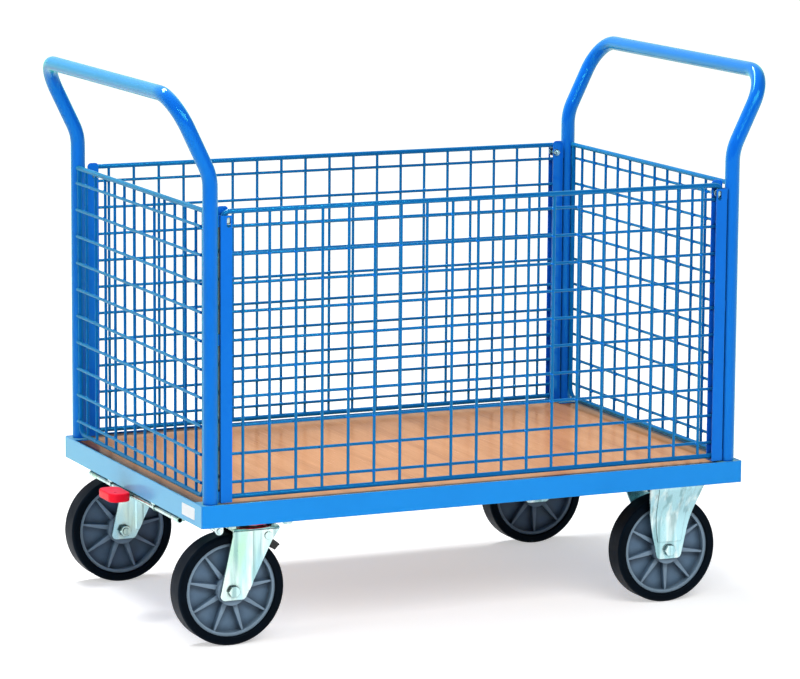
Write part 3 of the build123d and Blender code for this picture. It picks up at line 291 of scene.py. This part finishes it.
def blue_paint(name, deep, light, edge_radius, crevice, specular, tint, smooth, dull, sheen, sheen_tint):
    """Powder coat with a faint orange peel, and painted shade in crevices narrower than the given distance.
    """
    shader = Shader(name)
    place = shader.place()
    cloud = shader.noise(place, scale=7.0, detail=4.0)
    wear = shader.noise(place, scale=40.0, detail=5.0)
    peel = shader.noise(place, scale=520.0, detail=2.0)
    paint = shader.ramp(cloud, (0.30, deep), (0.62, light))
    # Painted shade: the paint turns navy in crevices and inner corners
    shader.colour(shader.painted_corner_shade(paint, NAVY_CREVICE_SHADE, crevice, low=0.22, high=0.62, share=0.9))
    shader.rough(wear, smooth, dull)
    shader.bump(peel, strength=0.02, distance=0.0003, edge_radius=edge_radius)
    shader.set(Specular_IOR_Level=specular, Specular_Tint=(*tint, 1.0))
    shader.set(Sheen_Weight=sheen, Sheen_Roughness=0.45, Sheen_Tint=(*sheen_tint, 1.0))
    return shader.material


# Board: how far from the edge its ends with painted shade and its dark border of painted shadow start and
# are full, and their shares
END_SHADE_START = 0.044
END_SHADE_FULL = 0.036
END_SHADE_SHARE = 0.8
END_BORDER_START = 0.014
END_BORDER_FULL = 0.009
SIDE_BORDER_START = 0.026
SIDE_BORDER_FULL = 0.020
BORDER_SHARE = 0.95


def board_wood(name, half_length, half_width):
    """Beech board with its grain across the trolley, short dark flecks, painted shade at its ends and a dark
    border of painted shadow.
    """
    shader = Shader(name)
    band = shader.noise(shader.place((16.0, 1.3, 16.0)), scale=2.2, detail=5.0, roughness=0.6)
    fibre = shader.noise(shader.place((210.0, 5.0, 210.0)), scale=2.0, detail=4.0, roughness=0.65)
    fleck = shader.noise(shader.place((520.0, 70.0, 520.0)), detail=1.0)
    base = shader.ramp(band, (0.28, BEECH_DARK), (0.50, BEECH), (0.72, BEECH_LIGHT))
    streaked = shader.blend(fibre, base, BEECH_LIGHT, low=0.35, high=0.65, share=0.45)
    flecked = shader.blend(fleck, streaked, BEECH_DARK, low=0.60, high=0.72, share=0.40)
    along = shader.away(ALONG_X)
    across = shader.away(ALONG_Y)
    # Painted shade at the ends of the board, and a dark border of painted shadow along the rails
    shaded = shader.blend(along, flecked, BEECH_SHADE, half_length - END_SHADE_START,
                          half_length - END_SHADE_FULL, END_SHADE_SHARE)
    end_line = shader.between(along, half_length - END_BORDER_START, half_length - END_BORDER_FULL,
                              0.0, BORDER_SHARE)
    side_line = shader.between(across, half_width - SIDE_BORDER_START, half_width - SIDE_BORDER_FULL,
                               0.0, BORDER_SHARE)
    border = shader.combine("MAXIMUM", end_line, side_line)
    shader.colour(shader.mix(border, shaded, BEECH_EDGE_SHADOW))
    shader.rough(fibre, smooth=0.18, dull=0.28)
    shader.bump(fibre, strength=0.02, distance=0.0002, edge_radius=0.0015)
    shader.set(Specular_IOR_Level=0.05)
    return shader.material


# Zinc: a place beyond the swivel end, and how far from it the plating starts to be bluer and is full
BEYOND_SWIVEL_END = (-1.0, 0.0, 0.0)
BLUER_START = 0.8
BLUER_FULL = 1.2


def zinc_steel(name, edge_radius):
    """Zinc plate with a pale green and blue passivation, bluer at the fixed end, fine drawn marks and
    painted shade in corners.
    """
    shader = Shader(name)
    cloud = shader.noise(shader.place((14.0, 14.0, 5.0)), detail=4.0)
    tint = shader.noise(shader.place((26.0, 26.0, 9.0), (0.4, 0.3, 0.1)))
    drawn = shader.noise(shader.place((420.0, 420.0, 30.0)))
    streak = shader.noise(shader.place((70.0, 70.0, 5.0)))
    spangle = shader.noise(shader.place((60.0, 60.0, 8.0), (0.2, 0.5, 0.3)))
    green = shader.blend(cloud, ZINC, ZINC_GREEN, low=0.42, high=0.64, share=0.8)
    end_blue = shader.between(shader.away(ALONG_X, BEYOND_SWIVEL_END), BLUER_START, BLUER_FULL, 0.0, 0.85)
    patch_blue = shader.between(tint, 0.45, 0.68, 0.0, 1.0)
    plated = shader.mix(shader.combine("MAXIMUM", end_blue, patch_blue), green, ZINC_BLUE)
    # Pale and dull vertical streaks: partly the plating's own uneven tone, partly painted reflection of
    # light and dark bands
    pale = shader.blend(spangle, plated, ZINC_PALE, low=0.50, high=0.66, share=0.85)
    dull = shader.blend(streak, pale, ZINC_DULL, low=0.50, high=0.66, share=0.62)
    # Painted shade: dark teal in the corners of the zinc parts
    shader.colour(shader.painted_corner_shade(dull, ZINC_CORNER_SHADE, 0.009, low=0.35, high=0.90, share=0.90))
    shader.rough(cloud, smooth=0.14, dull=0.30)
    shader.bump(drawn, strength=0.08, distance=0.0003, edge_radius=edge_radius)
    shader.set(Metallic=0.92, Specular_IOR_Level=0.5)
    return shader.material


# Wheels: where the ribs rise from the web, measured from the wheel's middle, and where the ring
# next to the tyre and the worn tread start, measured from the axle
RIB_FOOT = 0.0115
RIB_TOP = 0.0158
RING_START = 0.0755
RING_FULL = 0.0790
TREAD_START = 0.0965
TREAD_FULL = 0.0995


def wheel_plastic(name, middle):
    """Grey polyamide wheel, with a painted highlight on the raised ribs, paler on the ring next to the tyre,
    and painted shade in its pockets.
    """
    shader = Shader(name)
    place = shader.place()
    grain = shader.noise(place, scale=900.0, detail=2.0)
    cloud = shader.noise(place, scale=32.0, detail=4.0)
    flow = shader.blend(cloud, RIM_GREY, RIM_EDGE_GREY, low=0.35, high=0.70, share=0.22)
    # Painted highlight: the raised ribs are paler than the web
    ribbed = shader.blend(shader.away(ALONG_Y, middle), flow, RIB_HIGHLIGHT_GREY, RIB_FOOT, RIB_TOP, share=0.45)
    ringed = shader.blend(shader.away(ACROSS_Y, middle), ribbed, RIM_EDGE_GREY, RING_START, RING_FULL,
                          share=0.75)
    # Painted shade: darker in the pockets between the ribs
    shader.colour(shader.painted_corner_shade(ringed, RIM_SHADE, 0.016, low=0.40, high=0.95, share=0.75))
    shader.rough(cloud, smooth=0.40, dull=0.55)
    shader.bump(grain, strength=0.14, distance=0.0002, edge_radius=0.0012)
    shader.set(Specular_IOR_Level=0.45)
    return shader.material


def tyre_rubber(name, middle):
    """Black solid rubber, a little greyer where it runs on the floor."""
    shader = Shader(name)
    place = shader.place()
    grain = shader.noise(place, scale=700.0)
    cloud = shader.noise(place, scale=24.0, detail=5.0)
    worn = shader.blend(shader.away(ACROSS_Y, middle), TYRE_BLACK, TYRE_GREY, TREAD_START, TREAD_FULL,
                        share=0.55)
    shader.colour(shader.blend(cloud, worn, TYRE_GREY, low=0.45, high=0.75, share=0.5))
    shader.rough(cloud, smooth=0.42, dull=0.60)
    shader.bump(grain, strength=0.16, distance=0.0003)
    shader.set(Specular_IOR_Level=0.08, Specular_Tint=(*TYRE_GLOSS, 1.0))
    return shader.material


def mottled(name, colour_a, colour_b, smooth, dull, grain_scale, relief, edge_radius, specular=0.5):
    """Moulded plastic, rubber or film with a fine grain and a slight change of tone."""
    shader = Shader(name)
    place = shader.place()
    cloud = shader.noise(place, scale=60.0, detail=4.0)
    grain = shader.noise(place, scale=grain_scale)
    shader.colour(shader.ramp(cloud, (0.32, colour_a), (0.68, colour_b)))
    shader.rough(cloud, smooth, dull)
    shader.bump(grain, strength=relief, distance=0.0003, edge_radius=edge_radius)
    shader.set(Specular_IOR_Level=specular)
    return shader.material


TUBE_GLOSS = dict(specular=0.50, tint=TUBE_GLOSS_TINT, smooth=0.06, dull=0.10, sheen=0.75,
                  sheen_tint=TUBE_SHEEN)
CHANNEL_GLOSS = dict(specular=0.50, tint=BLUE_GLOSS, smooth=0.07, dull=0.12, sheen=0.1,
                     sheen_tint=BLUE_SHEEN)
WIRE_GLOSS = dict(specular=0.12, tint=WIRE_GLOSS_TINT, smooth=0.20, dull=0.30, sheen=0.5,
                  sheen_tint=TUBE_SHEEN)
SIDE_WIRE_GLOSS = dict(specular=0.75, tint=WIRE_GLOSS_TINT, smooth=0.12, dull=0.20, sheen=0.5,
                       sheen_tint=TUBE_SHEEN)
PLATE_GLOSS = dict(specular=0.60, tint=BLUE_GLOSS, smooth=0.13, dull=0.20, sheen=1.0,
                   sheen_tint=BLUE_SHEEN)
shared = {
    "tube": blue_paint("blue_paint_tube", TUBE_BLUE_DEEP, TUBE_BLUE, edge_radius=0.0, crevice=0.010,
                       **TUBE_GLOSS),
    "channel": blue_paint("blue_paint_channel", TUBE_BLUE_DEEP, TUBE_BLUE, edge_radius=0.0008, crevice=0.010,
                          **CHANNEL_GLOSS),
    "wire": blue_paint("blue_paint_wire", WIRE_BLUE_DEEP, WIRE_BLUE, edge_radius=0.0, crevice=0.003,
                       **WIRE_GLOSS),
    "side_wire": blue_paint("blue_paint_side_wire", SIDE_WIRE_BLUE_DEEP, SIDE_WIRE_BLUE, edge_radius=0.0,
                            crevice=0.003, **SIDE_WIRE_GLOSS),
    "blue_paint": blue_paint("blue_paint_plate", BLUE_DEEP, BLUE, edge_radius=0.0012, crevice=0.006,
                             **PLATE_GLOSS),
    "board_wood": board_wood("board_wood", *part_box("deck_board")[1][:2]),
    "zinc_steel": zinc_steel("zinc_steel", edge_radius=0.0008),
    "black_steel": mottled("black_steel", PAD_BLACK, PAD_GREY, smooth=0.35, dull=0.50, grain_scale=400.0,
                           relief=0.12, edge_radius=0.0008),
    "pad_rubber": mottled("pad_rubber", PAD_BLACK, PAD_GREY, smooth=0.55, dull=0.72, grain_scale=600.0,
                          relief=0.30, edge_radius=0.0008),
    "red_plastic": mottled("red_plastic", RED_DEEP, RED, smooth=0.26, dull=0.36, grain_scale=500.0,
                           relief=0.10, edge_radius=0.0010, specular=0.1),
}
label_film = mottled("label_film", LABEL_GREY, LABEL_WHITE, smooth=0.28, dull=0.40, grain_scale=300.0,
                     relief=0.06, edge_radius=0.0)

# Nodes take the material of their slot, and some blue ones and the wheels their own
slot_of = {part["node"]: part["material_slot"] for part in frame["record"]["subparts"]}
for name, node in nodes.items():
    slot = slot_of[name]
    if name.startswith("end_panel"):
        material = shared["wire"]
    elif name.startswith("side_panel"):
        material = shared["side_wire"]
    elif name.startswith("push_handle"):
        material = shared["tube"]
    elif name == "panel_channels":
        material = shared["channel"]
    elif slot in shared:
        material = shared[slot]
    else:
        low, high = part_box(name)
        maker = tyre_rubber if slot == "tyre_rubber" else wheel_plastic
        material = maker(name, tuple((low + high) / 2))
    node.data.materials.clear()
    node.data.materials.append(material)


def new_piece(name, mesh_builder, material, body):
    """Make a piece from a bmesh, dress it and let it ride on a body."""
    mesh = bpy.data.meshes.new(name)
    mesh_builder.to_mesh(mesh)
    mesh_builder.free()
    mesh.materials.append(material)
    piece = bpy.data.objects.new(name, mesh)
    bpy.context.scene.collection.objects.link(piece)
    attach(piece, body)


# Blank label on the end rail
LABEL_LENGTH = 0.060
LABEL_HEIGHT = 0.021
LABEL_THICKNESS = 0.0004
LABEL_CORNER = 0.002
LABEL_Y = -0.2855
LABEL_Z = 0.2465
CORNER_STEPS = 5


def rounded_outline(length, height, corner):
    """Points round a rectangle with rounded corners, in its own plane."""
    points = []
    for turn, (sign_a, sign_b) in enumerate(((1, 1), (-1, 1), (-1, -1), (1, -1))):
        for step in range(CORNER_STEPS + 1):
            angle = math.pi / 2 * (turn + step / CORNER_STEPS)
            points.append((sign_a * (length / 2 - corner) + corner * math.cos(angle),
                           sign_b * (height / 2 - corner) + corner * math.sin(angle)))
    return points


def blank_label(face_x):
    """Thin film with rounded corners that lies on the end rail's outer face."""
    mesh = bmesh.new()
    outline = rounded_outline(LABEL_LENGTH, LABEL_HEIGHT, LABEL_CORNER)
    face = mesh.faces.new([mesh.verts.new((face_x, LABEL_Y - a, LABEL_Z + b)) for a, b in outline])
    raised = bmesh.ops.extrude_face_region(mesh, geom=[face])
    lifted = [item for item in raised["geom"] if isinstance(item, bmesh.types.BMVert)]
    bmesh.ops.translate(mesh, vec=(-LABEL_THICKNESS, 0.0, 0.0), verts=lifted)
    bmesh.ops.recalc_face_normals(mesh, faces=mesh.faces)
    return mesh


end_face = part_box("end_rail_swivel")[0].x
new_piece("blank_label", blank_label(end_face), label_film, "frame")

# Weld nuggets at the wire crossings, under the paint: half sizes across, up and through the panel
NUGGET_SEED = 7
NUGGET_SIZE = (0.0039, 0.0038, 0.0046)
NUGGET_SPREAD = 0.14
NUGGET_SUBDIVISIONS = 2
WIRE_PITCH = 0.050
LOWEST_CROSS_WIRE = 0.301
CROSS_WIRES = 10
SIDE_UPRIGHTS = 19
END_UPRIGHTS = 12
SIDE_NUGGET_Y = 0.3293
END_NUGGET_X = 0.5167
QUARTER_TURN = math.pi / 2


def centred_places(count):
    """Places of upright wires, spread about the middle."""
    return [WIRE_PITCH * (place - (count - 1) / 2) for place in range(count)]


def weld_nuggets(places, turn, chance):
    """Small uneven lumps at the given places, lying in a panel that is turned about the upright axis."""
    mesh = bmesh.new()
    for place in places:
        wide, tall, deep = [size * (1.0 + NUGGET_SPREAD * chance.uniform(-1.0, 1.0)) for size in NUGGET_SIZE]
        shape = Matrix.Rotation(turn, 4, "Z") @ Matrix.Diagonal((wide, deep, tall, 1.0))
        tilt = Matrix.Rotation(chance.uniform(-math.pi, math.pi), 4, "Y")
        bmesh.ops.create_icosphere(mesh, subdivisions=NUGGET_SUBDIVISIONS, radius=1.0,
                                   matrix=Matrix.Translation(place) @ shape @ tilt)
    for face in mesh.faces:
        face.smooth = True
    return mesh


chance = random.Random(NUGGET_SEED)
rows = [LOWEST_CROSS_WIRE + WIRE_PITCH * row for row in range(CROSS_WIRES)]
for label, sign in (("right", -1), ("left", 1)):
    places = [(x, sign * SIDE_NUGGET_Y, z) for x in centred_places(SIDE_UPRIGHTS) for z in rows]
    welds = weld_nuggets(places, 0.0, chance)
    new_piece("side_panel_%s_welds" % label, welds, shared["tube"], "frame")
for label, sign in (("swivel", -1), ("fixed", 1)):
    places = [(sign * END_NUGGET_X, y, z) for y in centred_places(END_UPRIGHTS) for z in rows]
    welds = weld_nuggets(places, QUARTER_TURN, chance)
    new_piece("end_panel_%s_welds" % label, welds, shared["tube"], "frame")

# Floor, whose lift is only for rays that see it directly and lights nothing
half = FLOOR_SIZE / 2
floor_mesh = bpy.data.meshes.new("floor")
floor_corners = [(-half, -half, 0), (half, -half, 0), (half, half, 0), (-half, half, 0)]
floor_mesh.from_pydata(floor_corners, [], [(0, 1, 2, 3)])
floor = bpy.data.objects.new("floor", floor_mesh)
bpy.context.scene.collection.objects.link(floor)
floor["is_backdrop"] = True
floor_paint = Shader("floor")
floor_paint.set(Base_Color=(*FLOOR_COLOUR, 1.0), Roughness=FLOOR_ROUGHNESS, Specular_IOR_Level=0.0,
                Emission_Color=(*WHITE, 1.0))
lift = floor_paint.between(floor_paint.away(), FLOOR_NEAR, FLOOR_FAR, FLOOR_LIFT_NEAR, FLOOR_LIFT_FAR)
shown = floor_paint.combine("MULTIPLY", lift, floor_paint.seen_directly())
floor_paint.link(shown, floor_paint.surface.inputs["Emission Strength"])
floor_mesh.materials.append(floor_paint.material)

# World: soft light from above, dim at the sides, a white backdrop behind that only gloss sees,
# and white all round for the camera
world = bpy.data.worlds.new("studio")
bpy.context.scene.world = world
world.use_nodes = True
sky = Nodes(world.node_tree)
background = sky.tree.nodes["Background"]
background.inputs["Color"].default_value = (*WHITE, 1.0)
direction = sky.add("ShaderNodeTexCoord")
sides = sky.add("ShaderNodeSeparateXYZ")
sky.link(direction.outputs["Generated"], sides.inputs["Vector"])
dome = sky.between(sides.outputs["Z"], 0.0, 1.0, AMBIENT_HORIZON, AMBIENT_TOP)
behind = sky.between(sides.outputs["Y"], BACKDROP_START, BACKDROP_FULL, 0.0, BACKDROP_IN_GLOSS)
gloss_white = sky.combine("MULTIPLY", behind, sky.seen_directly())
light_path = sky.add("ShaderNodeLightPath")
shown_white = sky.combine("MAXIMUM", gloss_white, light_path.outputs["Is Camera Ray"])
strength = sky.add("ShaderNodeMix")
strength.inputs["B"].default_value = 1.0
sky.link(shown_white, strength.inputs["Factor"])
sky.link(dome, strength.inputs["A"])
sky.link(strength.outputs["Result"], background.inputs["Strength"])


def softbox(name, place, aim, size, power, in_gloss=True):
    """Rectangular lamp at a place, turned to what it aims at, and mirrored in gloss or not."""
    data = bpy.data.lights.new(name, "AREA")
    data.shape = "RECTANGLE"
    data.size, data.size_y = size
    data.energy = power
    lamp = bpy.data.objects.new(name, data)
    lamp.location = place
    lamp.rotation_euler = (Vector(place) - Vector(aim)).to_track_quat("Z", "Y").to_euler()
    lamp.visible_camera = False
    lamp.visible_glossy = in_gloss
    bpy.context.scene.collection.objects.link(lamp)


# Main light above, broad light in front, fill from the left, and strips which draw narrow highlights
# on the tubes
softbox("top", TOP_PLACE, TOP_AIM, TOP_SIZE, TOP_POWER)
softbox("front", FRONT_PLACE, FRONT_AIM, FRONT_SIZE, FRONT_POWER)
softbox("left", LEFT_PLACE, LEFT_AIM, LEFT_SIZE, LEFT_POWER, in_gloss=False)
for number, place in enumerate(STRIP_PLACES):
    softbox("strip_%d" % number, place, STRIP_AIM, STRIP_SIZE, STRIP_POWER)

# Camera
azimuth = math.radians(CAMERA_AZIMUTH)
pitch = math.radians(CAMERA_PITCH)
roll = Matrix.Rotation(math.radians(CAMERA_ROLL), 3, "Z")
forward = Vector((-math.sin(azimuth) * math.cos(pitch), math.cos(azimuth) * math.cos(pitch),
                  -math.sin(pitch)))
right = Vector((math.cos(azimuth), math.sin(azimuth), 0.0))
up = right.cross(forward)
eye = Vector((0.0, 0.0, CAMERA_TARGET_HEIGHT)) - forward * CAMERA_DISTANCE
camera_data = bpy.data.cameras.new("camera")
camera_data.sensor_fit = "HORIZONTAL"
camera_data.sensor_width = SENSOR_WIDTH
camera_data.lens = CAMERA_LENS
camera = bpy.data.objects.new("camera", camera_data)
bpy.context.scene.collection.objects.link(camera)
turned = Matrix((right, up, -forward)).transposed() @ roll
camera.matrix_world = Matrix.Translation(eye) @ turned.to_4x4()
bpy.context.scene.camera = camera
bpy.context.scene.view_settings.view_transform = "Standard"

low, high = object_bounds()
